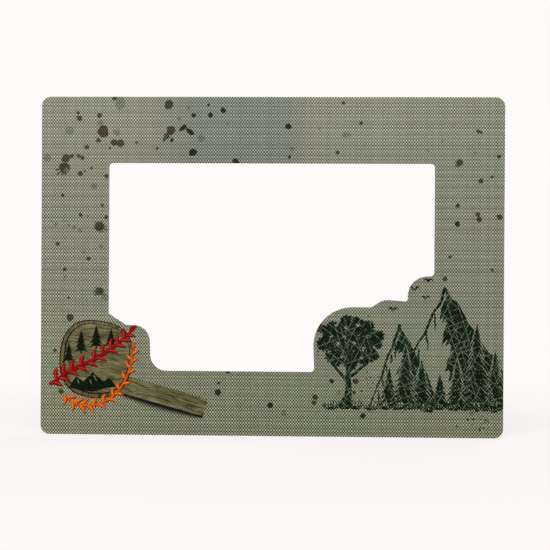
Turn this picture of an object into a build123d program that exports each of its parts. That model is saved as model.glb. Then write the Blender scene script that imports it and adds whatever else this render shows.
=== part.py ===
from build123d import *
from math import radians, tan
import os

# A magnetic photo frame: one flat sheet with an open window, in millimetres.
# It is modelled as it hangs on a steel door. X runs along the frame and Z is up.
# The printed front faces -Y, and the magnetic back lies on the plane y = 0.
# The origin is the centre of that back plane.

# Outer outline
frame_width = 200.0
frame_height = 146.5
frame_corner_radius = 4.0

# Borders, from each outer edge to the straight side of the window beside it
left_border = 29.4
right_border = 29.8
top_border = 28.65
bottom_border = 27.85
window_corner_radius = 1.7

# The border rises into the window's lower right in three swells. Each width is
# measured on from the swell before, starting at the window's right side, and
# each height from the window's bottom.
step_width = 11.3
step_height = 41.6
step_corner_radius = 8.5
bump_width = 10.6
bump_height = 30.7
bump_rise = 0.8
bump_corner_radius = 7.2
bump_slope_width = 4.9
lobe_width = 25.8
lobe_height = 28.1
lobe_corner_radius = 16.8
lobe_foot_inset = 1.2
swell_valley_radius = 2.4
step_valley_radius = 1.1

# The border rises into the window's lower left around the badge, with a sloping
# shoulder. The widths start at the window's left side.
shoulder_width = 7.7
shoulder_rise = 5.0
badge_width = 10.1
badge_height = 19.7
badge_corner_radius = 7.1
badge_foot_inset = 0.6
badge_valley_radius = 7.1
shoulder_valley_radius = 2.2

# Layers, from the magnetic back to the front
magnet_thickness = 0.70
adhesive_thickness = 0.05
print_thickness = 0.20
laminate_thickness = 0.05

# The most that two fillets may take of the side between them
fillet_room_share = 0.98


def window_corners():
    """Corners of the window, clockwise from its top left, each with its fillet radius."""
    left = left_border - frame_width / 2
    right = frame_width / 2 - right_border
    top = frame_height / 2 - top_border
    bottom = bottom_border - frame_height / 2
    step_left = right - step_width
    bump_left = step_left - bump_width
    slope_left = bump_left - bump_slope_width
    lobe_left = slope_left - lobe_width
    shoulder_right = left + shoulder_width
    badge_right = shoulder_right + badge_width
    return [
        ((left, top), window_corner_radius),
        ((right, top), window_corner_radius),
        ((right, bottom + step_height), window_corner_radius),
        ((step_left, bottom + step_height), step_corner_radius),
        ((step_left, bottom + bump_height), step_valley_radius),
        ((bump_left, bottom + bump_height + bump_rise), bump_corner_radius),
        ((slope_left, bottom + lobe_height), swell_valley_radius),
        ((lobe_left, bottom + lobe_height), lobe_corner_radius),
        ((lobe_left + lobe_foot_inset, bottom), window_corner_radius),
        ((badge_right + badge_foot_inset, bottom), badge_valley_radius),
        ((badge_right, bottom + badge_height), badge_corner_radius),
        ((shoulder_right, bottom + badge_height), shoulder_valley_radius),
        ((left, bottom + badge_height + shoulder_rise), window_corner_radius),
    ]


def fitted_radii(points, radii):
    """The radii, smaller where two fillets would meet on the side between them."""
    count = len(points)
    sides = [points[(i + 1) % count] - points[i] for i in range(count)]
    turns = [sides[i - 1].get_angle(sides[i]) for i in range(count)]
    tangents = [radius * tan(radians(turn / 2)) for radius, turn in zip(radii, turns)]
    rooms = []
    for i in range(count):
        taken = tangents[i] + tangents[(i + 1) % count]
        rooms.append(fillet_room_share * sides[i].length / taken)
    return [radii[i] * min(1, rooms[i - 1], rooms[i]) for i in range(count)]


def window_opening():
    """The window as a face: a rectangle that the swells and the badge reach into."""
    corners = window_corners()
    points = [Vector(*place) for place, radius in corners]
    radii = fitted_radii(points, [radius for place, radius in corners])
    return make_face(FilletPolyline(*points, radius=radii, close=True))


def frame_outline():
    """The die-cut outline that every layer shares."""
    sheet = RectangleRounded(frame_width, frame_height, frame_corner_radius)
    return sheet - window_opening()


def stacked_layers():
    """Each layer's name and solid, laid face to face from the back plane forwards."""
    outline = frame_outline()
    sheets = (
        ("magnet_sheet", magnet_thickness),
        ("adhesive_film", adhesive_thickness),
        ("printed_sheet", print_thickness),
        ("clear_laminate", laminate_thickness),
    )
    layers = {}
    depth = 0
    for name, thickness in sheets:
        layers[name] = extrude(Plane.XZ.offset(depth) * outline, amount=thickness)
        depth += thickness
    return layers


os.makedirs("parts", exist_ok=True)
for node, solid in stacked_layers().items():
    export_step(solid, f"parts/{node}.step")
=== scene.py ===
import math
import random

import bmesh
import bpy
from mathutils import Euler, Matrix, Vector
from mathutils.geometry import delaunay_2d_cdt


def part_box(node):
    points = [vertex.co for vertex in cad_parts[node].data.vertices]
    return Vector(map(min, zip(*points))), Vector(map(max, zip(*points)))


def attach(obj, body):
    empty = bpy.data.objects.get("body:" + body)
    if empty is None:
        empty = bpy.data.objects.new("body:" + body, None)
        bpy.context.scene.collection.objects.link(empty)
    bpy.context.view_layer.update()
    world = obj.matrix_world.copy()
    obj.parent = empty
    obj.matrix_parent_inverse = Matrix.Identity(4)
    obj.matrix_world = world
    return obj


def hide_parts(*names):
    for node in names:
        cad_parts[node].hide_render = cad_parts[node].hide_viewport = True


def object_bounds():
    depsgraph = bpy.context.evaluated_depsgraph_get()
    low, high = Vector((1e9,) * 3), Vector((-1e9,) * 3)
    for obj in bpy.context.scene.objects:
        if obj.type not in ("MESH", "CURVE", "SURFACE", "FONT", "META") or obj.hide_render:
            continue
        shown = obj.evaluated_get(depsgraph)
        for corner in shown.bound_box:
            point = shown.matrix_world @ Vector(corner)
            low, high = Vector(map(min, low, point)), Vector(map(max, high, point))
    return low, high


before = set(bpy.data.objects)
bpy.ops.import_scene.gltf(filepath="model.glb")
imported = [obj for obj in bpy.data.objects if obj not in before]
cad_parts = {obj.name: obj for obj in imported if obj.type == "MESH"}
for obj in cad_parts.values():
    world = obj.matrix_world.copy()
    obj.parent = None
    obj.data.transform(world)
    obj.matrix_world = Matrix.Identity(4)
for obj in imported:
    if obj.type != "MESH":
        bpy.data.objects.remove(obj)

# The printed face of a magnetic photo frame, dressed round its packed layers.
# Lengths with no other unit in their name are metres. The print is laid out in
# millimetres from the frame's centre, across and up, as seen from the front.
# Tones are colours from 0 to 255.

cad_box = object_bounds()
MM = 0.001
LOWEST, HIGHEST = (Vector(corner) for corner in cad_box)
CENTRE = (LOWEST + HIGHEST) / 2
# Depth of the printed front, and of the printed sheet's back
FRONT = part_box("clear_laminate")[0][1]
SHEET_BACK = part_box("printed_sheet")[1][1]
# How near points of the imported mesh, and of the print, count as one
SAME_POINT = 1e-6
SAME_SPOT_MM = 1e-3

# Camera, fitted to the frame's four corners in the photograph
CAMERA_LENS_MM = 85
CAMERA_SENSOR_MM = 36
CAMERA_CLIP_START = 0.01
CAMERA_PLACE = (0.02087, -0.56134, -0.00066)
CAMERA_TURN_DEG = (-0.301, -0.336, 1.971)

# Light
BACKDROP_TONE = (254, 250, 249)
WORLD_STRENGTH = 0.345
# Lamps: name, place, size and watts
LAMPS = (("key", (-0.04, -0.33, 0.46), 0.3, 3.45), ("back", (0.35, 0.6, 0.55), 0.5, 3.0))

# Floor, which fades into the backdrop at a distance from its middle
FLOOR_SIZE = 3.0
FLOOR_FADE_START = 0.10
FLOOR_FADE_END = 0.32
FLOOR_SHADE_SHARE = 0.18
FLOOR_TONE = (206, 204, 203)

# Rolled front edge, where the die pulled the face down: how far out and back
ROLL_RINGS_MM = ((0.08, 0.004), (0.15, 0.016), (0.20, 0.034), (0.23, 0.05))
ROLL_WIDTH_MM = ROLL_RINGS_MM[-1][0]
# The least that a sharp corner's bisector counts with where an outline is moved
LEAST_BISECTOR = 0.5

# Unwrapped map: left, foot, width and height of the front, the back and each rim's strip
FRONT_SHARE = (0.0, 0.0, 1.0, 0.90)
BACK_SHARE = (0.0, 0.91, 0.12, 0.085)
STRIP_SHARES = ((0.13, 0.91, 0.87, 0.04), (0.13, 0.955, 0.87, 0.04))

# Printed canvas: its threads, and one dark and one pale row in every few
WARP_PITCH_MM = 0.600
WEFT_PITCH_MM = 0.755
THREAD_TONES = ((34, 34, 6), (183, 186, 165))
CROSSING_EDGE = 0.30
GAP_WIDTH = 0.35
GAP_SHADE = 0.85
SLUB_EVERY = 6
DARK_SLUB = 4
DARK_SLUB_LOSS = 0.15
PALE_SLUB = 5
PALE_SLUB_GAIN = 0.14
ROW_SHARE = 0.22
THREAD_SPREAD = 0.06

# How far the threads wander, and over what length
WANDER_MM, WANDER_EVERY_MM = 0.2, 9.0
DRIFT_MM, DRIFT_EVERY_MM = 0.5, 70.0

# Slow changes of the canvas's tone: clouds, a greener foot and a warmer right side; a cooler,
# darker patch on the upper border, which is a painted reflection of the film's sheen; and a
# paler left side, strongest low down, which is painted light falling from the left
CLOUD_SIZE_MM = 26.0
CLOUD_TINTS = ((1.035, 0.99, 1.0, 1.0), (0.99, 1.025, 1.0, 1.0))
# Painted reflection: the film's sheen on the upper border, cooler and darker
PAINTED_SHEEN_TINT = (0.815, 0.853, 0.91, 1.0)
FOOT_TINT = (0.99, 1.03, 0.925, 1.0)
RIGHT_TINT = (1.06, 1.025, 1.015, 1.0)
# Painted light: the left side made paler, as if lit from the left
PAINTED_LIGHT_LEFT_TINT = (1.12, 1.13, 1.085, 1.0)

# Clear film over the print
FILM_ROUGHNESS = (0.38, 0.48)
FILM_SPECULAR = 0.04
FILM_RIPPLE_MM = 0.003

# Paper of the cut edge, magnetic back and adhesive
PAPER_TONES = ((196, 192, 180), (232, 229, 220))
PAPER_ROUGHNESS = 0.9
MAGNET_TONES = ((40, 34, 30), (60, 53, 47))
MAGNET_ROUGHNESS = (0.5, 0.68)
MAGNET_SPECULAR = 0.3
POLE_PITCH_MM = 3.2
POLE_TONE = (84, 76, 68)
SCUFF_TONE = (104, 96, 88)
ADHESIVE_TONES = ((170, 164, 146), (204, 199, 184))
ADHESIVE_ROUGHNESS = 0.6

# Paint splatter: across, up and radius of each round spot, by ink
ROUND_SPOTS = {
    "olive": (
        (-84.2, 66.2, 0.8), (-83.7, 63.9, 1.25), (-74.9, 65.0, 1.12), (-44.8, 69.8, 1.95),
        (-49.8, 50.9, 0.75), (-58.7, 53.4, 0.75), (-75.3, 54.3, 1.0), (-80.4, 51.4, 1.0),
        (-70.4, 51.0, 0.6), (-86.9, 47.5, 0.9), (-83.9, 47.5, 0.9), (-82.2, 46.7, 0.95),
        (-83.2, 40.0, 1.15), (-81.1, 41.0, 0.5), (-78.2, 42.3, 0.7), (-71.8, 38.8, 0.9),
        (-90.8, 30.4, 0.8), (-73.5, 26.2, 0.7), (-83.0, 22.0, 0.9), (-71.8, 21.0, 0.85),
        (-92.9, 9.4, 0.9), (-79.3, 3.0, 0.95), (-89.7, -1.7, 0.85), (-93.8, -36.9, 0.85),
        (30.6, 70.7, 0.75), (28.3, 49.4, 0.92), (38.3, 62.0, 0.85), (88.5, 58.6, 0.9),
        (89.8, 58.1, 0.7), (97.5, 47.8, 0.85), (89.8, 37.3, 1.1), (94.6, 39.1, 0.65),
        (80.0, 26.7, 1.0), (88.6, 22.9, 1.0), (97.9, 21.9, 1.25), (76.8, 4.6, 0.8),
        (94.8, -0.9, 0.75), (53.5, -38.2, 0.8), (36.0, -54.1, 0.85),
    ),
    "black": (
        (-34.0, 65.2, 0.95), (-34.3, 49.2, 1.65), (-27.6, 69.7, 0.6), (-26.7, 65.3, 1.15),
        (-21.2, 67.4, 1.2), (-15.7, 45.3, 1.4), (7.0, 60.5, 1.35), (7.6, 47.3, 0.72),
        (-88.1, -14.0, 0.5), (-18.5, -45.2, 1.2), (-22.5, -50.4, 0.65), (-0.1, -59.9, 1.3),
        (79.9, 18.8, 1.2), (39.8, -64.1, 1.25), (-43.4, 54.5, 0.85), (-22.8, -54.5, 1.4),
        (26.3, -49.2, 1.05),
    ),
    "maroon": (
        (-73.3, 58.2, 2.5), (-43.8, 58.7, 1.95), (21.5, -26.6, 2.0), (36.6, -49.2, 1.3),
        (70.0, -59.4, 1.9),
    ),
    "umber": (
        (-68.5, 53.4, 1.5), (-65.7, 53.1, 1.7), (-45.6, 56.2, 1.3), (-46.7, 54.7, 0.8),
        (-89.6, 46.4, 1.75), (89.2, 20.8, 1.3),
    ),
    "brown": (
        (-87.3, -22.6, 1.65), (19.2, -56.3, 1.25), (18.8, -58.7, 1.0), (74.7, -4.8, 1.1),
        (72.1, -17.2, 1.2), (71.8, -19.4, 0.8), (84.8, -37.2, 1.0), (-68.4, 72.5, 1.0),
        (90.1, -69.8, 0.55),
    ),
    "faint": (
        (-67.4, 57.9, 1.6), (-87.9, 58.5, 1.95), (-77.2, 34.4, 1.4), (-97.6, 46.6, 1.75),
        (-74.6, 61.9, 1.3), (-40.2, 63.8, 0.9), (-36.3, 68.3, 0.9), (-19.1, 61.7, 0.65),
        (-30.6, 55.2, 1.6), (8.6, 50.8, 1.0), (20.3, 59.3, 0.5), (73.2, 54.4, 0.55),
        (87.4, 49.4, 0.55), (-79.8, 21.5, 0.55), (-93.7, 18.1, 0.8), (-88.0, 17.5, 0.6),
        (-85.9, 16.6, 0.9), (-83.3, 15.2, 1.0), (-81.3, 5.7, 0.7), (-74.1, 8.4, 0.9),
        (-89.6, -4.8, 0.85), (-72.0, -13.7, 1.6), (5.7, -63.4, 1.3), (29.4, -54.2, 1.0),
        (49.2, -54.6, 1.1), (52.6, -54.1, 0.8), (86.6, -62.3, 1.4), (97.9, -40.6, 1.5),
    ),
    "worn": ((-89.1, 41.5, 1.15),),
}

# Long spots: across, up, radius, how many times longer than wide, and lean in degrees
LONG_SPOTS = {
    "black": ((-38.6, 59.8, 1.4, 1.9, 35), (-35.5, 58.1, 1.5, 1.9, -38)),
    "faint": (
        (-65.9, 70.5, 2.6, 1.4, 90), (32.0, 56.9, 1.5, 2.0, 0), (67.1, 50.1, 0.55, 2.6, -30),
        (-6.7, -65.4, 0.6, 2.2, -20),
    ),
    "brown": ((-88.1, 47.2, 0.8, 2.2, 12),),
}

# Spots that hit hard and threw out points: across, up, radius and way thrown in degrees
THROWN_SPOTS = {
    "olive": ((80.7, 45.1, 1.5, 215),),
    "umber": ((-74.4, -11.1, 1.8, 190),),
    "brown": ((-90.0, 42.3, 2.45, 215), (-91.0, -54.8, 1.15, 150), (-74.7, 17.0, 2.15, -20)),
}
THROWN_POINTS = 13

# Clear inks: the share of the canvas's colour that each lets through
SPLATTER_INKS = {
    "faint": (0.560, 0.590, 0.580),
    "olive": (0.187, 0.188, 0.150),
    "black": (0.086, 0.093, 0.070),
    "umber": (0.225, 0.196, 0.166),
    "brown": (0.205, 0.168, 0.140),
    "maroon": (0.220, 0.155, 0.165),
    "worn": (0.46, 0.40, 0.38),
}
# How much more of the canvas shows where a splash is thin
SPLATTER_THINNING = 1.25
STAMP_INK = (0.004, 0.030, 0.008)
STAMP_INK_THIN = (0.022, 0.066, 0.032)
WORN_INK = (0.52, 0.61, 0.57)
SHADOW_INK = (0.040, 0.022, 0.028)

# Opaque inks: the two tones that each varies between
OPAQUE_INKS = {
    "plank_crack": ((44, 40, 20), (66, 60, 34)),
    "rim_line": ((24, 18, 6), (44, 33, 16)),
    "disc_mark": ((5, 14, 3), (18, 30, 12)),
    "disc_mark_pale": ((84, 100, 80), (112, 124, 100)),
    "leaf_red": ((134, 8, 10), (160, 15, 17)),
    "leaf_red_vein": ((186, 44, 42), (198, 66, 60)),
    "leaf_red_shade": ((76, 10, 8), (96, 14, 12)),
    "leaf_orange": ((212, 78, 6), (230, 96, 16)),
    "leaf_orange_vein": ((246, 124, 30), (250, 142, 50)),
    "leaf_orange_shade": ((116, 40, 8), (140, 54, 14)),
}

# Printed woods: the way of the grain in degrees, and the dark, middle and pale tones
WOODS = {
    "plank_wood": (-15.4, (68, 64, 34), (104, 101, 66), (128, 125, 90)),
    "rim_wood": (80, (70, 60, 34), (104, 94, 62), (124, 114, 80)),
    "disc_wood": (-8, (76, 70, 42), (108, 102, 68), (132, 126, 90)),
}

# Woodland print, lower right: across, foot, height, width and tiers of each pine
PINES = (
    (51.0, -60.0, 17.0, 9.5, 7), (65.0, -60.5, 21.0, 10.5, 8), (96.5, -60.5, 25.0, 11.5, 9),
    (72.8, -60.5, 15.0, 9.0, 6), (58.0, -61.5, 28.0, 13.5, 10), (80.2, -61.5, 22.0, 11.5, 8),
    (88.6, -62.0, 38.0, 16.0, 13),
)
# Mountains: left ridge to the tip, right ridge from it, and the shade's edge, down from the tip
PEAKS = (
    (
        ((50.0, -60.5), (56.0, -46.5), (58.2, -43.6), (63.6, -32.0), (66.2, -28.6), (70.4, -18.4),
         (72.6, -15.6), (75.0, -8.6)),
        ((75.0, -8.6), (78.6, -14.0), (80.6, -15.6), (85.4, -24.6), (88.4, -26.8), (93.0, -35.6),
         (96.4, -38.0), (104.0, -52.0), (113.0, -60.5)),
        ((75.4, -13.0), (73.2, -18.0), (76.4, -22.5), (74.0, -29.0), (78.6, -35.0), (75.6, -42.0),
         (79.5, -50.0), (78.5, -60.5)),
    ),
    (
        ((42.5, -60.5), (46.2, -50.4), (47.6, -48.0), (50.8, -37.4), (52.6, -34.4), (55.5, -24.5)),
        ((55.5, -24.5), (58.0, -30.0), (59.8, -31.6), (63.2, -39.4), (65.4, -41.6), (69.4, -51.6),
         (73.0, -60.5)),
        ((55.8, -28.5), (54.2, -33.0), (57.2, -38.0), (55.4, -44.0), (58.8, -50.0), (57.6, -60.5)),
    ),
)
# Birds: across, up and span
BIRDS = ((61.6, -9.8, 5.4), (67.6, -6.0, 4.4), (66.4, -13.4, 4.0), (52.6, -18.6, 4.6))
OAK_CENTRE = (34.6, -32.4)
OAK_REACH = (12.4, 10.6)
OAK_TRUNK = ((32.4, -60.5), (33.6, -53.0), (33.4, -46.0), (34.6, -38.0))
OAK_BOUGHS = (
    ((33.4, -49.5), (29.0, -44.5), (25.0, -40.0)), ((33.6, -48.0), (39.0, -43.5), (43.6, -39.5)),
    ((33.4, -45.5), (36.6, -42.0), (38.4, -38.0)),
)
# Leaf clumps of the crown: how many, how far out, least and greatest radius, and if inked
OAK_CLUMPS = ((44, 1.0, 2.0, 3.0, True), (15, 0.9, 0.45, 0.95, False), (26, 1.22, 0.35, 0.7, True))
CLUMP_POINTS = 20
# The turn between clumps that spreads them evenly over the crown
EVEN_SPREAD_DEG = 137.5
# Tufts of grass, and grit: centre, spread and how many grains
TUFTS = 13
TUFT_START = (25.5, -61.2)
TUFT_STEP = 5.9
GRIT = (((46.0, -50.0), 4.0, 24), ((91.0, -67.0), 3.6, 30))
# Worn scratches in the block print
SCRATCH_DEGREES = (22, -37, 64, -71)
SCRATCH_SPACING_MM = 2.6
SCRATCH_WIDTH_MM = 0.20

# Wooden plank, lower left, and its shadow's depth
PLANK_DEGREES = WOODS["plank_wood"][0]
PLANK_START = (-65.0, -51.1)
PLANK_LENGTH = 38.2
PLANK_WIDTH = 7.6
PLANK_ROUGH_MM = 0.12
SHADOW_ENDS_MM = 1.7
SHADOW_MIDDLE_MM = 3.6
# Cracks: share of the plank's length, height over its middle, and length
PLANK_CRACKS = ((0.05, 1.9, 9.0), (0.30, -1.4, 12.0), (0.52, 1.2, 10.0), (0.78, -0.5, 7.5))

# Wooden disc: inset and shift of its outlines, from the outside in, and its drawing
DISC_CENTRE = (-75.9, -40.5)
DISC_HALF = (16.6, 17.5)
DISC_POINTS = 56
DISC_RINGS = ((0.0, 0.0), (0.5, 0.05), (1.7, 0.1), (2.2, 0.3))
DISC_PINES = (
    (-87.8, -42.4, 8.8, 6.6, 4), (-82.4, -38.2, 10.4, 7.4, 5), (-75.8, -36.2, 10.4, 7.4, 5),
    (-69.4, -35.4, 8.2, 6.6, 4),
)
DISC_RIDGE = (
    (-88.0, -53.0), (-84.4, -48.0), (-81.4, -50.4), (-77.2, -46.0), (-72.8, -50.4), (-70.6, -48.6),
    (-66.6, -52.6),
)
DISC_RIDGE_FOOT = ((-72.0, -53.2), (-77.0, -54.8), (-83.0, -54.0))
DISC_SNOW = (
    ((-84.2, -49.2), (-83.2, -51.4)), ((-77.0, -47.4), (-75.4, -50.2)),
    ((-78.6, -49.4), (-77.8, -51.6)),
)

# Leafy twigs: ink, stem, the stem's widths, how many leaves, and the first leaf's length
TWIGS = (
    (
        "leaf_red",
        ((-96.4, -51.6), (-88.0, -46.0), (-77.0, -40.6), (-67.5, -34.4), (-61.4, -28.8)),
        (0.8, 1.5, 1.3, 0.8), 19, 5.4,
    ),
    (
        "leaf_orange",
        ((-90.6, -55.6), (-84.0, -60.2), (-75.0, -60.0), (-66.6, -54.6), (-61.4, -45.2),
         (-59.6, -36.0)),
        (0.6, 1.1, 0.9, 0.5), 21, 4.3,
    ),
)
LEAF_TURN_DEG = 50
LEAF_BEND_DEG = 12
LEAF_WIDTH_SHARE = 0.38
LEAF_SHADE_SHIFT = (0.34, -0.42)


def srgb(tone):
    """A colour given as 0 to 255, in the linear numbers that shaders take."""
    levels = []
    for value in tone:
        level = value / 255
        levels.append(level / 12.92 if level <= 0.04045 else ((level + 0.055) / 1.055) ** 2.4)
    return (*levels, 1.0)


class Graph:
    """A node tree, with short calls for what the materials here are made of."""

    def __init__(self, tree):
        self.tree = tree
        self.places = None

    def node(self, kind, *values, **settings):
        """A new node with its settings, and with values fed to its first sockets."""
        made = self.tree.nodes.new(kind)
        for name, value in settings.items():
            setattr(made, name, value)
        for socket, value in zip(made.inputs, values):
            self.feed(socket, value)
        return made

    def feed(self, socket, value):
        """Link a socket to another node's output, or set it to a plain value."""
        if isinstance(value, bpy.types.NodeSocket):
            self.tree.links.new(value, socket)
        else:
            socket.default_value = value

    def surface(self, name, value):
        """Feed a socket of the material's own shader."""
        self.feed(self.tree.nodes["Principled BSDF"].inputs[name], value)

    def maths(self, operation, *values):
        return self.node("ShaderNodeMath", *values, operation=operation).outputs[0]

    def times(self, first, *others):
        for other in others:
            first = self.maths("MULTIPLY", first, other)
        return first

    def ramp(self, value, low, high, bottom=0.0, top=1.0):
        """A smooth step from bottom to top as the value goes from low to high."""
        values = value, low, high, bottom, top
        made = self.node("ShaderNodeMapRange", *values, interpolation_type="SMOOTHSTEP")
        return made.outputs[0]

    def mix(self, share, first, second, blend="MIX"):
        """Two colours mixed. The Mix node has its colours in sockets 6, 7 and 2."""
        made = self.node("ShaderNodeMix", share, data_type="RGBA", blend_type=blend)
        self.feed(made.inputs[6], first)
        self.feed(made.inputs[7], second)
        return made.outputs[2]

    def grey(self, value):
        return self.node("ShaderNodeCombineColor", value, value, value).outputs[0]

    def face_places(self):
        """Across and up on the object itself, in millimetres."""
        if not self.places:
            coordinates = self.node("ShaderNodeTexCoord")
            parts = self.node("ShaderNodeSeparateXYZ", coordinates.outputs["Object"])
            self.places = [self.maths("DIVIDE", parts.outputs[axis], MM) for axis in (0, 2)]
        return self.places

    def turned(self, places, degrees):
        """Places along and aside of a direction, from places across and up."""
        across, up = places
        cosine, sine = polar(degrees, 1.0)
        along = self.maths("MULTIPLY_ADD", across, cosine, self.times(up, sine))
        aside = self.maths("MULTIPLY_ADD", up, cosine, self.times(across, -sine))
        return along, aside

    def noise(self, size_mm, detail=2.0, places=None, output="Fac"):
        """Soft noise over the face, or over other places across and up."""
        flat = self.node("ShaderNodeCombineXYZ", *(places or self.face_places()))
        made = self.node("ShaderNodeTexNoise", flat.outputs[0], noise_dimensions="2D")
        made.inputs["Scale"].default_value = 1 / size_mm
        made.inputs["Detail"].default_value = detail
        return made.outputs[output]

    def wander(self, size_mm, most_mm):
        """Two slow wandering offsets, across and up."""
        colour = self.noise(size_mm, 1.0, output="Color")
        parts = self.node("ShaderNodeSeparateColor", colour).outputs[:2]
        return [self.maths("MULTIPLY_ADD", part, most_mm, -most_mm / 2) for part in parts]

    def thread_noise(self, count):
        """A different small number for each thread."""
        white = self.node("ShaderNodeTexWhiteNoise", noise_dimensions="1D")
        self.feed(white.inputs["W"], self.maths("FLOOR", count))
        return self.maths("MULTIPLY_ADD", white.outputs["Value"], 2 * THREAD_SPREAD, -THREAD_SPREAD)

    def scratches(self, degrees):
        """1 on thin straight scratches along a direction, each with its own length."""
        along, aside = self.turned(self.face_places(), degrees)
        made = self.node("ShaderNodeTexVoronoi", voronoi_dimensions="1D")
        made.feature = "DISTANCE_TO_EDGE"
        self.feed(made.inputs["W"], self.maths("MULTIPLY_ADD", along, 0.03, aside))
        made.inputs["Scale"].default_value = 1 / SCRATCH_SPACING_MM
        width = SCRATCH_WIDTH_MM / SCRATCH_SPACING_MM
        line = self.ramp(made.outputs["Distance"], width * 0.3, width, 1.0, 0.0)
        runs = self.noise(1.4, 1.0, (self.times(along, 0.10), aside))
        return self.times(line, self.ramp(runs, 0.50, 0.56))


def canvas_group():
    """The printed canvas: a plain weave of pale and dark threads, as a colour."""
    tree = bpy.data.node_groups.new("canvas_print", "ShaderNodeTree")
    tree.interface.new_socket("Color", in_out="OUTPUT", socket_type="NodeSocketColor")
    graph = Graph(tree)
    across, up = graph.face_places()
    near_across, near_up = graph.wander(WANDER_EVERY_MM, WANDER_MM)
    far_across, far_up = graph.wander(DRIFT_EVERY_MM, DRIFT_MM)
    warp = graph.maths("ADD", graph.maths("ADD", across, near_across), far_across)
    weft = graph.maths("ADD", graph.maths("ADD", up, near_up), far_up)
    warp = graph.maths("DIVIDE", warp, WARP_PITCH_MM)
    weft = graph.maths("DIVIDE", weft, WEFT_PITCH_MM)
    waves = [graph.maths("SINE", graph.times(count, math.pi)) for count in (warp, weft)]
    crossing = graph.times(*waves)
    swing = graph.ramp(crossing, -CROSSING_EDGE, CROSSING_EDGE, -0.5, 0.5)
    pale_share = graph.maths("MULTIPLY_ADD", swing, canvas_contrast(graph, across, up), 0.5)
    thread = graph.mix(pale_share, *map(srgb, THREAD_TONES))
    gap = graph.ramp(graph.maths("ABSOLUTE", crossing), 0.0, GAP_WIDTH, GAP_SHADE, 1.0)
    strength = graph.times(thread_strength(graph, warp, weft, waves[1]), gap)
    colour = graph.mix(1.0, thread, graph.grey(strength), "MULTIPLY")
    colour = graph.mix(1.0, colour, canvas_tint(graph, across, up), "MULTIPLY")
    graph.node("NodeGroupOutput", colour)
    return tree


def thread_strength(graph, warp, weft, row_wave):
    """How light each thread is: uneven threads, and a dark and a pale row in every few."""
    row = graph.maths("FLOORED_MODULO", graph.maths("FLOOR", weft), SLUB_EVERY)
    is_pale, is_dark = (graph.maths("COMPARE", row, slub, 0.5) for slub in (PALE_SLUB, DARK_SLUB))
    strength = graph.maths("MULTIPLY_ADD", is_pale, PALE_SLUB_GAIN, 1.0)
    strength = graph.maths("MULTIPLY_ADD", is_dark, -DARK_SLUB_LOSS, strength)
    strength = graph.maths("MULTIPLY_ADD", row_wave, ROW_SHARE, strength)
    for count in (warp, weft):
        strength = graph.maths("ADD", strength, graph.thread_noise(count))
    return strength


def canvas_contrast(graph, across, up):
    """How strongly the threads show: most along the bottom, and least on the upper right."""
    rightwards = graph.ramp(across, -40.0, 20.0, 0.80, 0.70)
    upper = graph.times(rightwards, graph.ramp(up, 20.0, 50.0, 1.0, 0.93))
    return graph.ramp(up, -62.0, -44.0, 0.94, upper)


def canvas_tint(graph, across, up):
    """Slow changes of tone, painted sheen and painted light, as a colour to multiply the canvas by.
    """
    cloud = graph.maths("MULTIPLY_ADD", across, 0.0018, graph.noise(CLOUD_SIZE_MM))
    tint = graph.mix(graph.ramp(cloud, 0.3, 0.7), *CLOUD_TINTS)
    # A cooler, darker patch on the upper border: a painted reflection of the film's sheen
    ends = graph.ramp(across, -62.0, -28.0), graph.ramp(across, 6.0, 18.0, 1.0, 0.0)
    painted_sheen = graph.times(*ends, graph.ramp(up, 36.0, 46.0))
    tint = graph.mix(painted_sheen, tint, PAINTED_SHEEN_TINT)
    foot = graph.ramp(up, -58.0, -10.0, 1.0, 0.0)
    below = graph.ramp(up, 20.0, 45.0, 1.0, 0.0)
    right = graph.times(graph.ramp(across, 60.0, 80.0), below)
    # A paler left side, strongest low down: painted light falling from the left
    lower = graph.ramp(up, -40.0, 60.0, 1.0, 0.2)
    left = graph.times(graph.ramp(across, -96.0, -40.0, 1.0, 0.0), lower)
    for share, change in ((foot, FOOT_TINT), (right, RIGHT_TINT), (left, PAINTED_LIGHT_LEFT_TINT)):
        tint = graph.mix(share, tint, change, "MULTIPLY")
    return tint


def plain_material(name):
    material = bpy.data.materials.new(name)
    material.use_nodes = True
    return material, Graph(material.node_tree)


def roughened(graph, height, depth_mm):
    """A fine unevenness of the surface, from a height of 0 to 1."""
    bump = graph.node("ShaderNodeBump")
    bump.inputs["Distance"].default_value = depth_mm * MM
    graph.feed(bump.inputs["Height"], height)
    graph.surface("Normal", bump.outputs[0])


def film_material(name, colour_of, *details):
    """A print under satin film, which is a little uneven in its shine and its surface."""
    material, graph = plain_material(name)
    graph.surface("Base Color", colour_of(graph, *details))
    graph.surface("Roughness", graph.ramp(graph.noise(6.0), 0.3, 0.7, *FILM_ROUGHNESS))
    graph.surface("Specular IOR Level", FILM_SPECULAR)
    roughened(graph, graph.noise(1.4), FILM_RIPPLE_MM)
    return material


def canvas(graph):
    return graph.node("ShaderNodeGroup", node_tree=CANVAS_TREE).outputs[0]


def inked(graph, ink):
    """The canvas seen through an ink."""
    return graph.mix(1.0, canvas(graph), (*ink, 1.0), "MULTIPLY")


def splashed(graph, ink):
    """A splash of ink, thinner here and there."""
    share = graph.ramp(graph.noise(0.8), 0.35, 0.65)
    thin = inked(graph, [level * SPLATTER_THINNING for level in ink])
    return graph.mix(share, thin, inked(graph, ink))


def stamped(graph):
    """Dark green block print, scratched and worn through to the canvas."""
    worn = graph.ramp(graph.noise(0.6, 3.0), 0.62, 0.70)
    for degrees in SCRATCH_DEGREES:
        worn = graph.maths("MAXIMUM", worn, graph.scratches(degrees))
    thin = graph.ramp(graph.noise(3.0), 0.42, 0.66)
    ink = graph.mix(thin, inked(graph, STAMP_INK), inked(graph, STAMP_INK_THIN))
    return graph.mix(worn, ink, inked(graph, WORN_INK))


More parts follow.
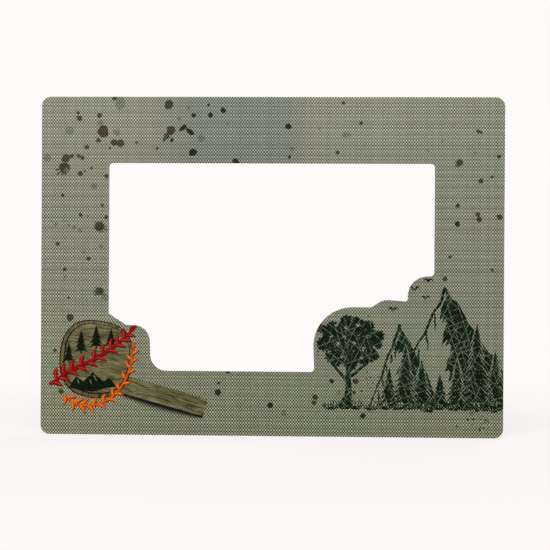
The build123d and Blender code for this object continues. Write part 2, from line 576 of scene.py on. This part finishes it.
def grained(graph, degrees, *tones):
    """Printed wood, with its grain along a direction."""
    dark, middle, pale = map(srgb, tones)
    along, aside = graph.turned(graph.face_places(), degrees)
    slow = graph.noise(1.0, places=(graph.times(along, 0.12), graph.times(aside, 0.3)))
    grain = graph.times(along, 0.07), graph.maths("MULTIPLY_ADD", slow, 2.0, aside)
    broad = graph.ramp(graph.noise(1.2, places=grain), 0.35, 0.65)
    fine = graph.ramp(graph.noise(0.5, places=grain), 0.48, 0.64)
    colour = graph.mix(fine, graph.mix(broad, middle, pale), dark)
    stain = graph.ramp(graph.noise(8.0), 0.3, 0.7, 0.84, 1.14)
    return graph.mix(1.0, colour, graph.grey(stain), "MULTIPLY")


def painted(graph, *tones):
    """An opaque ink that varies a little between two tones."""
    share = graph.ramp(graph.noise(0.9), 0.35, 0.65)
    return graph.mix(share, *map(srgb, tones))


def shaded(graph, middle):
    """The plank's printed soft shadow, darkest along its lower edge and deepest halfway."""
    places = [graph.maths("SUBTRACT", *pair) for pair in zip(graph.face_places(), middle)]
    along, aside = graph.turned(places, PLANK_DEGREES)
    outwards = graph.maths("DIVIDE", along, PLANK_LENGTH / 2)
    inwards = graph.maths("SUBTRACT", 1.0, graph.times(outwards, outwards))
    depth = graph.maths("MULTIPLY_ADD", inwards, SHADOW_MIDDLE_MM - SHADOW_ENDS_MM, SHADOW_ENDS_MM)
    share = graph.ramp(graph.maths("DIVIDE", aside, depth), -1.0, -0.2)
    return graph.mix(share, canvas(graph), inked(graph, SHADOW_INK))


def paper_edge_material():
    """White paper, cut through: pale fibres, with no shine."""
    material, graph = plain_material("paper_edge")
    fibres = graph.noise(0.25)
    graph.surface("Base Color", graph.mix(fibres, *map(srgb, PAPER_TONES)))
    graph.surface("Roughness", PAPER_ROUGHNESS)
    roughened(graph, fibres, 0.01)
    return material


def magnet_material():
    """Rubber-bonded ferrite: brown-black, with faint pole stripes and roller scuffs."""
    material, graph = plain_material("ferrite_rubber")
    across, up = graph.face_places()
    mottle = graph.noise(14.0, 4.0)
    colour = graph.mix(mottle, *map(srgb, MAGNET_TONES))
    poles = graph.maths("SINE", graph.times(up, 2 * math.pi / POLE_PITCH_MM))
    stripes = graph.ramp(poles, -1.0, 1.0, 0.0, 0.16)
    colour = graph.mix(stripes, colour, srgb(POLE_TONE))
    streak = graph.noise(0.35, 3.0, (graph.times(across, 0.03), up))
    scuffs = graph.ramp(streak, 0.60, 0.74, 0.0, 0.25)
    graph.surface("Base Color", graph.mix(scuffs, colour, srgb(SCUFF_TONE)))
    graph.surface("Roughness", graph.ramp(mottle, 0.3, 0.7, *MAGNET_ROUGHNESS))
    graph.surface("Specular IOR Level", MAGNET_SPECULAR)
    roughened(graph, graph.noise(0.5, 3.0), 0.02)
    return material


def adhesive_material():
    """Clouded acrylic adhesive."""
    material, graph = plain_material("adhesive")
    cloud = graph.noise(1.1)
    graph.surface("Base Color", graph.mix(cloud, *map(srgb, ADHESIVE_TONES)))
    graph.surface("Roughness", ADHESIVE_ROUGHNESS)
    roughened(graph, cloud, 0.008)
    return material


def front_loops(node):
    """The outer loop and the window's loop of a CAD node's front face, in millimetres."""
    mesh = bmesh.new()
    mesh.from_mesh(node.data)
    bmesh.ops.remove_doubles(mesh, verts=mesh.verts, dist=SAME_POINT)
    front = min(vertex.co.y for vertex in mesh.verts)
    kept = {f for f in mesh.faces if all(v.co.y - front < SAME_POINT for v in f.verts)}
    rim = [e for e in mesh.edges if sum(f in kept for f in e.link_faces) == 1]
    loops = [[Vector((v.co.x, v.co.z)) / MM for v in loop] for loop in chained(rim)]
    mesh.free()
    return sorted(map(counterclockwise, loops), key=signed_area, reverse=True)


def chained(edges):
    """Edges sorted into closed loops of vertices."""
    left = dict.fromkeys(edges)
    loops = []
    while left:
        first, here = left.popitem()[0].verts
        loop = [first]
        while here is not first:
            loop.append(here)
            following = next(e for e in here.link_edges if e in left)
            del left[following]
            here = following.other_vert(here)
        loops.append(loop)
    return loops


def signed_area(loop):
    return sum(a.cross(b) for a, b in zip(loop, loop[1:] + loop[:1])) / 2


def counterclockwise(loop):
    return loop if signed_area(loop) > 0 else loop[::-1]


def moved_inwards(loop, distance):
    """A counterclockwise loop moved inwards by a distance, which may be negative."""
    moved = []
    for i, here in enumerate(loop):
        before = (here - loop[i - 1]).normalized()
        after = (loop[(i + 1) % len(loop)] - here).normalized()
        along = (before + after).normalized()
        left = Vector((-along.y, along.x))
        moved.append(here + left * distance / max(LEAST_BISECTOR, along.dot(after)))
    return moved


class Print:
    """The shapes printed on the face, each with its material, the later ones on top."""

    def __init__(self, outer, window):
        self.shapes = [(outer, 0), (window, 0)]
        self.materials = [CANVAS]

    def add(self, outline, material):
        if material not in self.materials:
            self.materials.append(material)
        outline = counterclockwise([Vector(place) for place in outline])
        self.shapes.append((outline, self.materials.index(material)))

    def triangles(self):
        """The face cut along every outline: places, triangles and each one's material."""
        places, faces = [], []
        for outline, _ in self.shapes:
            faces.append(list(range(len(places), len(places) + len(outline))))
            places += outline
        spots, _, cut, _, _, parents = delaunay_2d_cdt(places, [], faces, 1, SAME_SPOT_MM, True)
        triangles = []
        for corners, owners in zip(cut, parents):
            if 0 in owners and 1 not in owners:
                triangles.append((corners, self.shapes[max(owners)][1]))
        return spots, triangles


def face_piece(artwork, edge_material):
    """The printed sheet under its film: inked front, rolled edge, cut side and back."""
    mesh = bmesh.new()
    add_front(mesh, artwork)
    unwrapped = {face: flat_places(face, FRONT_SHARE) for face in mesh.faces}
    rim = [edge for edge in mesh.edges if edge.is_boundary]
    edge_index = len(artwork.materials)
    last = add_sides(mesh, rim, edge_index, unwrapped)
    back = [mesh.edges.get([last[vertex] for vertex in edge.verts]) for edge in rim]
    filled = bmesh.ops.triangle_fill(mesh, use_beauty=True, edges=back)
    for made in filled["geom"]:
        if isinstance(made, bmesh.types.BMFace):
            made.material_index = edge_index
            unwrapped[made] = flat_places(made, BACK_SHARE)
    bmesh.ops.recalc_face_normals(mesh, faces=mesh.faces)
    return piece_from(mesh, "printed_face", (*artwork.materials, edge_material), unwrapped)


def add_front(mesh, artwork):
    """The front's faces, each with its ink, out to where the edge starts to roll."""
    spots, triangles = artwork.triangles()
    verts = [mesh.verts.new((spot.x * MM, FRONT, spot.y * MM)) for spot in spots]
    for corners, index in triangles:
        mesh.faces.new([verts[i] for i in corners]).material_index = index
    bmesh.ops.delete(mesh, geom=[v for v in mesh.verts if not v.link_faces], context="VERTS")


def add_sides(mesh, rim, edge_index, unwrapped):
    """The rolled edge and the cut side, ring by ring. Gives the last ring, by rim vertex."""
    rings = [(out, FRONT + back * MM, False) for out, back in ROLL_RINGS_MM]
    rings.append((ROLL_WIDTH_MM, SHEET_BACK, True))
    ways = rim_directions(rim)
    shares = rim_shares(rim)
    last = {vertex: vertex for vertex in ways}
    for level, (out, depth, is_paper) in enumerate(rings):
        ring = {}
        for vertex, way in ways.items():
            spot = vertex.co + way * out * MM
            ring[vertex] = mesh.verts.new((spot.x, depth, spot.z))
        for edge in rim:
            a, b = edge.verts
            index = edge.link_faces[0].material_index
            side = mesh.faces.new((last[a], last[b], ring[b], ring[a]))
            side.material_index = edge_index if is_paper else index
            strip, ends = shares[edge]
            unwrapped[side] = {
                verts[end]: placed((ends[end], (level + row) / len(rings)), STRIP_SHARES[strip])
                for row, verts in enumerate((last, ring))
                for end in (a, b)
            }
        last = ring
    return last


def rim_directions(rim):
    """For each vertex of the rim, the way out of the sheet, long enough to clear corners."""
    sides = {}
    for edge in rim:
        a, b = edge.verts
        out = (b.co - a.co).normalized().cross(Vector((0, 1, 0)))
        if out.dot(edge.link_faces[0].calc_center_median() - a.co) > 0:
            out = -out
        for vertex in (a, b):
            sides.setdefault(vertex, []).append(out)
    directions = {}
    for vertex, outs in sides.items():
        middle = sum(outs, Vector()).normalized()
        directions[vertex] = middle / max(LEAST_BISECTOR, middle.dot(outs[0]))
    return directions


def rim_shares(rim):
    """For each edge of the rim, its loop's number and how far round the loop its ends lie."""
    shares = {}
    for number, loop in enumerate(chained(rim)):
        sides = list(zip(loop, loop[1:] + loop[:1]))
        edges = [next(edge for edge in a.link_edges if b in edge.verts) for a, b in sides]
        total = sum(edge.calc_length() for edge in edges)
        gone = 0.0
        for edge, (a, b) in zip(edges, sides):
            start = gone / total
            gone += edge.calc_length()
            shares[edge] = number, {a: start, b: gone / total}
    return shares


def placed(place, box):
    """A place of 0 to 1 across and up, laid into a box of the unwrapped map."""
    left, foot, width, height = box
    return left + place[0] * width, foot + place[1] * height


def flat_places(face, box):
    """A flat face's corners on the unwrapped map, as they lie on the object."""
    size = HIGHEST - LOWEST
    places = {}
    for vertex in face.verts:
        spot = vertex.co - LOWEST
        places[vertex] = placed((spot.x / size.x, spot.z / size.z), box)
    return places


def piece_from(mesh, name, materials, unwrapped):
    """An object made of a mesh, with the unwrapped map of its faces."""
    layer = mesh.loops.layers.uv.new("OFBake")
    for face in mesh.faces:
        for loop in face.loops:
            loop[layer].uv = unwrapped[face][loop.vert]
    data = bpy.data.meshes.new(name)
    mesh.to_mesh(data)
    mesh.free()
    for material in materials:
        data.materials.append(material)
    return new_object(name, data)


def polar(degrees, length):
    return Vector((math.cos(math.radians(degrees)), math.sin(math.radians(degrees)))) * length


def spot_outline(dice, centre, radius, stretch=1.0, lean=0.0, rough=0.055):
    """A splash of paint: a wavering round outline, drawn out along its lean."""
    phases = [dice.uniform(0, 360) for _ in range(3)]
    count = max(10, min(22, int(radius * 11)))
    outline = []
    for i in range(count):
        angle = 360 * i / count
        turns = [k * angle + phase for k, phase in zip((2, 3, 5), phases)]
        waver = sum(math.sin(math.radians(turn)) for turn in turns)
        place = polar(angle, radius * (1 + rough * waver))
        along = polar(lean, place.x * stretch ** 0.5)
        aside = polar(lean + 90, place.y / stretch ** 0.5)
        outline.append(Vector(centre) + along + aside)
    return outline


def thrown_outline(dice, centre, radius, way):
    """A splash with fine points all round, the longest on the side it was thrown towards."""
    outline = []
    step = 360 / THROWN_POINTS
    for i in range(THROWN_POINTS):
        facing = max(0.0, math.cos(math.radians(step * i - way)))
        reach = (0.32 + 0.85 * facing ** 2) * dice.uniform(0.45, 1.0)
        for turn, share in ((-0.36, 0.0), (-0.16, 0.75), (0.0, 1.0), (0.16, 0.75), (0.36, 0.0)):
            out = radius * (0.88 + reach * share)
            outline.append(Vector(centre) + polar(step * (i + turn), out))
    return outline


def curved(points, steps=6):
    """A smooth line through the points."""
    points = [Vector(point) for point in points]
    ends = [2 * points[0] - points[1], *points, 2 * points[-1] - points[-2]]
    line = []
    for a, b, c, d in zip(ends, ends[1:], ends[2:], ends[3:]):
        for i in range(steps):
            t = i / steps
            bend = (2 * a - 5 * b + 4 * c - d) * t + (3 * b - a - 3 * c + d) * t * t
            line.append(b + (c - a + bend) * t / 2)
    return [*line, points[-1]]


def jagged(dice, start, end, count, swing):
    """A broken line from start to end, its corners swung to either side."""
    start, along = Vector(start), Vector(end) - Vector(start)
    side = Vector((-along.y, along.x)).normalized()
    line = [start]
    for i in range(1, count):
        line.append(start + along * i / count + side * dice.uniform(-swing, swing))
    return [*line, start + along]


def broken(dice, points, count, swing):
    """A line through the points, broken between them."""
    line = []
    for start, end in zip(points, points[1:]):
        line += jagged(dice, start, end, count, swing)[:-1]
    return [*line, Vector(points[-1])]


def stroke(line, widths):
    """The outline of a brush stroke along a line, its widths spread evenly over it."""
    left, right = [], []
    for i, here in enumerate(line):
        along = (line[min(i + 1, len(line) - 1)] - line[max(i - 1, 0)]).normalized()
        place = i / (len(line) - 1) * (len(widths) - 1)
        before = min(int(place), len(widths) - 2)
        width = widths[before] + (widths[before + 1] - widths[before]) * (place - before)
        side = Vector((-along.y, along.x)) * width / 2
        left.append(here + side)
        right.append(here - side)
    return left + right[::-1]


def leaf(base, degrees, length, width):
    """A pointed leaf that grows from its base in a direction."""
    middle = base + polar(degrees + LEAF_BEND_DEG, length * 0.5)
    line = curved([base, middle, base + polar(degrees, length)], 4)
    return stroke(line, (width * 0.12, width * 0.75, width, width * 0.6, width * 0.08))


def leaf_vein(base, degrees, length):
    """The vein along the middle of a leaf."""
    middle = base + polar(degrees + LEAF_BEND_DEG, length * 0.5)
    line = curved([base, middle, base + polar(degrees, length * 0.85)], 3)
    return stroke(line, (0.2, 0.5, 0.1))


def pine(x, foot, height, width, tiers, grow=0.0):
    """A pine's outline, with drooping jagged branches, made wider all round by grow."""
    dice = random.Random(f"{x} {height}")
    sides = []
    for way in (1, -1):
        side = []
        for tier in range(1, tiers + 1):
            share = tier / tiers
            reach = width / 2 * share ** 0.85 * dice.uniform(0.78, 1.12)
            level = foot + height * (1 - 0.90 * share)
            droop = height / tiers * 0.35
            notch = dice.uniform(0.0, 0.5) * droop
            side.append(Vector((x + way * (reach + grow), level - droop - grow * 0.5)))
            side.append(Vector((x + way * (reach * 0.42 + grow), level + notch - grow * 0.5)))
        trunk = width * 0.045 + grow
        side.append(Vector((x + way * trunk, side[-1].y)))
        side.append(Vector((x + way * trunk, foot - grow)))
        sides.append(side)
    return [Vector((x, foot + height + grow * 1.5)), *sides[0], *sides[1][::-1]]


def add_splatter(artwork):
    """The splashes of paint, ink by ink."""
    dice = random.Random(7)
    for name in SPLATTER_INKS:
        ink = film_material(f"splatter_{name}", splashed, SPLATTER_INKS[name])
        for x, z, radius in ROUND_SPOTS[name]:
            stretch, lean = dice.uniform(1.0, 1.1), dice.uniform(0, 180)
            artwork.add(spot_outline(dice, (x, z), radius, stretch, lean), ink)
        for x, z, *form in LONG_SPOTS.get(name, ()):
            artwork.add(spot_outline(dice, (x, z), *form), ink)
        for x, z, *form in THROWN_SPOTS.get(name, ()):
            artwork.add(thrown_outline(dice, (x, z), *form), ink)


def add_peak(artwork, ink, dice, left_ridge, right_ridge, shade_edge):
    """A mountain: a ridge with gullies on its lit side, and a feathered shaded side."""
    left_ridge = broken(dice, left_ridge, 3, 0.3)
    right_ridge = broken(dice, right_ridge, 3, 0.3)
    artwork.add([*left_ridge, *right_ridge[1:]], CANVAS)
    artwork.add(stroke(left_ridge, (0.6, 0.9, 1.1, 1.4)), ink)
    shade_edge = [Vector(place) for place in shade_edge]
    artwork.add([*right_ridge, *shade_edge[::-1]], ink)
    for a, b in zip(shade_edge, shade_edge[1:]):
        for share in (0.1, 0.45, 0.8):
            start = a.lerp(b, share) + Vector((1.0, 0.5))
            end = start + polar(dice.uniform(-130, -112), dice.uniform(2.4, 5.6))
            artwork.add(stroke([start, start.lerp(end, 0.5), end], (2.2, 1.3, 0.1)), ink)
    tip, left_foot, shade_foot = right_ridge[0], left_ridge[0], shade_edge[-1]
    for share in (0.22, 0.36, 0.50, 0.64, 0.78):
        start = tip.lerp(left_foot, share) + Vector((0.9, 0.0))
        end = start + (shade_foot - tip) * dice.uniform(0.12, 0.24)
        artwork.add(stroke(jagged(dice, start, end, 5, 0.35), (0.5, 1.0, 0.15)), ink)


def leafy_outline(dice, centre, radius):
    """A clump of leaves, with a ragged edge."""
    outline = []
    for i in range(CLUMP_POINTS):
        reach = radius * (dice.uniform(1.05, 1.30) if i % 2 else dice.uniform(0.80, 0.95))
        outline.append(Vector(centre) + polar(360 * i / CLUMP_POINTS, reach))
    return outline


def add_oak(artwork, ink, dice):
    """A broad tree: trunk, boughs and a crown of leaf clumps with a few gaps in it."""
    artwork.add(stroke(curved(OAK_TRUNK), (6.4, 3.0, 2.4, 2.0, 1.0)), ink)
    for bough in OAK_BOUGHS:
        artwork.add(stroke(curved(bough), (1.6, 1.1, 0.6)), ink)
    for count, spread, small, large, is_inked in OAK_CLUMPS:
        for i in range(count):
            place = polar(EVEN_SPREAD_DEG * i, spread * math.sqrt((i + 0.5) / count))
            jitter = Vector((dice.uniform(-0.6, 0.6), dice.uniform(-0.6, 0.6)))
            centre = Vector(OAK_CENTRE) + place * Vector(OAK_REACH) + jitter
            clump = leafy_outline(dice, centre, dice.uniform(small, large))
            artwork.add(clump, ink if is_inked else CANVAS)


def wing(x, z, reach):
    """A gliding bird's wing, out to one side of its body."""
    line = curved([(x, z), (x + reach * 0.26, z + abs(reach) * 0.26), (x + reach * 0.5, z)], 3)
    return stroke(line, (0.95, 0.8, 0.15))


def add_tuft(artwork, ink, dice, place):
    """A tuft of grass: a flat clump, and blades that lean outwards from it."""
    radius = dice.uniform(1.0, 1.5)
    artwork.add(spot_outline(dice, place, radius, 4.0, dice.uniform(-5, 5), 0.12), ink)
    for blade in range(-3, 4):
        base = place + Vector((0.85 * blade, 0.2))
        way = 90 - 11 * blade + dice.uniform(-9, 9)
        length = dice.uniform(2.2, 4.8)
        bend = base + polar(way, 0.55 * length)
        line = curved([base, bend, bend + polar(way - 6 * blade, 0.45 * length)], 2)
        artwork.add(stroke(line, (0.8, 0.55, 0.1)), ink)


def add_ground(artwork, ink, dice):
    """Tufts of grass along the trees' feet, and grit thrown about."""
    x, z = TUFT_START
    for i in range(TUFTS):
        place = (x + TUFT_STEP * i + dice.uniform(-1.0, 1.0), z + dice.uniform(-0.7, 0.7))
        add_tuft(artwork, ink, dice, Vector(place))
    for centre, spread, count in GRIT:
        for _ in range(count):
            place = Vector(centre) + Vector((dice.gauss(0, spread), dice.gauss(0, spread * 0.6)))
            artwork.add(spot_outline(dice, place, dice.uniform(0.15, 0.42)), ink)


def add_woodland(artwork):
    """The scratched dark green landscape in the lower right."""
    ink = film_material("stamp_green", stamped)
    dice = random.Random(11)
    for peak in PEAKS:
        add_peak(artwork, ink, dice, *peak)
    add_oak(artwork, ink, dice)
    for x, z, span in BIRDS:
        artwork.add(wing(x, z, span), ink)
        artwork.add(wing(x, z, -span), ink)
    for tree in PINES:
        artwork.add(pine(*tree, grow=0.5), CANVAS)
        artwork.add(pine(*tree), ink)
    add_ground(artwork, ink, dice)


def disc_outline(inset, shift):
    """The wooden disc's outline, a little squared off, moved inwards and up to the right."""
    outline = []
    for i in range(DISC_POINTS):
        angle = 360 * i / DISC_POINTS
        square = 0.035 * math.cos(math.radians(4 * (angle - 38)))
        waver = 0.010 * math.sin(math.radians(3 * angle + 40))
        place = polar(angle, 1 + square + waver)
        half = Vector(DISC_HALF) - Vector((inset, inset))
        outline.append(Vector(DISC_CENTRE) + Vector((shift, shift)) + place * half)
    return outline


def add_plank(artwork):
    """A small bare plank with its printed shadow."""
    along, down = polar(PLANK_DEGREES, 1.0), polar(PLANK_DEGREES - 90, 1.0)
    start = Vector(PLANK_START)
    low_left = start + down * PLANK_WIDTH / 2
    low_right = low_left + along * PLANK_LENGTH
    deepest = down * SHADOW_MIDDLE_MM
    shadow = film_material("plank_shadow", shaded, (low_left + low_right) / 2)
    artwork.add([low_left, low_right, low_right + deepest, low_left + deepest], shadow)
    dice = random.Random(5)
    high_left = start - down * PLANK_WIDTH / 2
    high_right = high_left + along * PLANK_LENGTH
    outline = jagged(dice, low_left, low_right, 14, PLANK_ROUGH_MM)
    outline += jagged(dice, high_right, high_left, 14, PLANK_ROUGH_MM)
    artwork.add(outline, WOOD["plank_wood"])
    for share, level, length in PLANK_CRACKS:
        begin = start + along * PLANK_LENGTH * share - down * level
        line = jagged(dice, begin, begin + along * length, 6, PLANK_ROUGH_MM)
        artwork.add(stroke(line, (0.1, 0.42, 0.1)), PAINT["plank_crack"])


def add_twig(artwork, ink, stem, widths, leaves, size):
    """A twig with alternate leaves, each over its own darker underside and with a pale vein."""
    line = curved(stem, 8)
    shapes = [stroke(line, widths)]
    veins = []
    for i in range(leaves):
        here = round((i + 0.6) / leaves * (len(line) - 2))
        along = line[here + 1] - line[here]
        way = math.degrees(math.atan2(along.y, along.x))
        heading = way + (LEAF_TURN_DEG if i % 2 else -LEAF_TURN_DEG)
        length = size * (1.0 - 0.25 * i / leaves)
        shapes.append(leaf(line[here], heading, length, length * LEAF_WIDTH_SHARE))
        veins.append(leaf_vein(line[here], heading, length))
    shapes.append(leaf(line[-1], way, size * 0.8, size * 0.34))
    undersides = [[place + Vector(LEAF_SHADE_SHIFT) for place in shape] for shape in shapes]
    for part, outlines in (("_shade", undersides), ("", shapes), ("_vein", veins)):
        for outline in outlines:
            artwork.add(outline, PAINT[ink + part])


def add_badge(artwork):
    """The wooden disc with its rim, small woodland marks and two autumn twigs."""
    layers = PAINT["rim_line"], WOOD["rim_wood"], PAINT["rim_line"], WOOD["disc_wood"]
    for ring, material in zip(DISC_RINGS, layers):
        artwork.add(disc_outline(*ring), material)
    for tree in DISC_PINES:
        artwork.add(pine(*tree), PAINT["disc_mark"])
    dice = random.Random(3)
    artwork.add([*broken(dice, DISC_RIDGE, 3, 0.35), *DISC_RIDGE_FOOT], PAINT["disc_mark"])
    for ends in DISC_SNOW:
        line = jagged(dice, *ends, 3, 0.1)
        artwork.add(stroke(line, (0.3, 0.8, 0.1)), PAINT["disc_mark_pale"])
    for twig in TWIGS:
        add_twig(artwork, *twig)


def new_object(name, data):
    """An object in the scene that shows some data."""
    made = bpy.data.objects.new(name, data)
    bpy.context.scene.collection.objects.link(made)
    return made


def make_camera():
    camera = bpy.data.cameras.new("camera")
    camera.lens = CAMERA_LENS_MM
    camera.sensor_width = CAMERA_SENSOR_MM
    camera.clip_start = CAMERA_CLIP_START
    rig = new_object("camera", camera)
    turn = Euler([math.radians(angle) for angle in CAMERA_TURN_DEG]).to_matrix().to_4x4()
    upright = Matrix.Rotation(math.radians(90), 4, "X")
    rig.matrix_world = Matrix.Translation(CAMERA_PLACE) @ turn @ upright
    bpy.context.scene.camera = rig


def make_lamp(name, place, size, watts):
    lamp = bpy.data.lights.new(name, "AREA")
    lamp.shape = "DISK"
    lamp.size = size
    lamp.energy = watts
    rig = new_object(name, lamp)
    rig.location = place
    rig.rotation_euler = (Vector(place) - CENTRE).to_track_quat("Z", "Y").to_euler()


def backdrop_rays(graph):
    """1 for rays that should see the pale backdrop: camera, glossy and transmission."""
    path = graph.node("ShaderNodeLightPath")
    seen = graph.maths("MAXIMUM", path.outputs["Is Camera Ray"], path.outputs["Is Glossy Ray"])
    return graph.maths("MAXIMUM", seen, path.outputs["Is Transmission Ray"])


def make_world():
    world = bpy.data.worlds.new("studio")
    world.use_nodes = True
    bpy.context.scene.world = world
    graph = Graph(world.node_tree)
    graph.tree.nodes.clear()
    light = graph.node("ShaderNodeBackground", (1, 1, 1, 1), WORLD_STRENGTH).outputs[0]
    backdrop = graph.node("ShaderNodeBackground", srgb(BACKDROP_TONE)).outputs[0]
    mixed = graph.node("ShaderNodeMixShader", backdrop_rays(graph), light, backdrop)
    graph.node("ShaderNodeOutputWorld", mixed.outputs[0])


def floor_material():
    """Pale floor with thinned shade, which fades out far away and bounces no light."""
    material, graph = plain_material("studio_floor")
    graph.tree.nodes.clear()
    lit = graph.node("ShaderNodeBsdfDiffuse", srgb(FLOOR_TONE)).outputs[0]
    glow = graph.node("ShaderNodeEmission", srgb(BACKDROP_TONE)).outputs[0]
    pale = graph.node("ShaderNodeMixShader", 1 - FLOOR_SHADE_SHARE, lit, glow).outputs[0]
    place = graph.node("ShaderNodeTexCoord").outputs["Object"]
    length = graph.node("ShaderNodeVectorMath", place, operation="LENGTH").outputs["Value"]
    there = graph.ramp(length, FLOOR_FADE_START, FLOOR_FADE_END, 1.0, 0.0)
    clear = graph.node("ShaderNodeBsdfTransparent").outputs[0]
    share = graph.times(backdrop_rays(graph), there)
    faded = graph.node("ShaderNodeMixShader", share, clear, pale)
    graph.node("ShaderNodeOutputMaterial", faded.outputs[0])
    return material


def make_floor():
    half = FLOOR_SIZE / 2
    corners = [(-half, -half, 0), (half, -half, 0), (half, half, 0), (-half, half, 0)]
    data = bpy.data.meshes.new("floor")
    data.from_pydata(corners, [], [(0, 1, 2, 3)])
    data.materials.append(floor_material())
    floor = new_object("floor", data)
    floor.location.z = LOWEST.z


bpy.context.scene.view_settings.view_transform = "Standard"
make_camera()
make_world()
make_floor()
for lamp in LAMPS:
    make_lamp(*lamp)

CANVAS_TREE = canvas_group()
CANVAS = film_material("printed_canvas", canvas)
WOOD = {name: film_material(name, grained, *look) for name, look in WOODS.items()}
PAINT = {name: film_material(name, painted, *tones) for name, tones in OPAQUE_INKS.items()}

outer, window = front_loops(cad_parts["clear_laminate"])
artwork = Print(moved_inwards(outer, ROLL_WIDTH_MM), moved_inwards(window, -ROLL_WIDTH_MM))
add_splatter(artwork)
add_woodland(artwork)
add_plank(artwork)
add_badge(artwork)

face = face_piece(artwork, paper_edge_material())
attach(face, "root")
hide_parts("printed_sheet", "clear_laminate")

for name, material in (("magnet_sheet", magnet_material()), ("adhesive_film", adhesive_material())):
    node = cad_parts[name]
    node.data.materials.clear()
    node.data.materials.append(material)
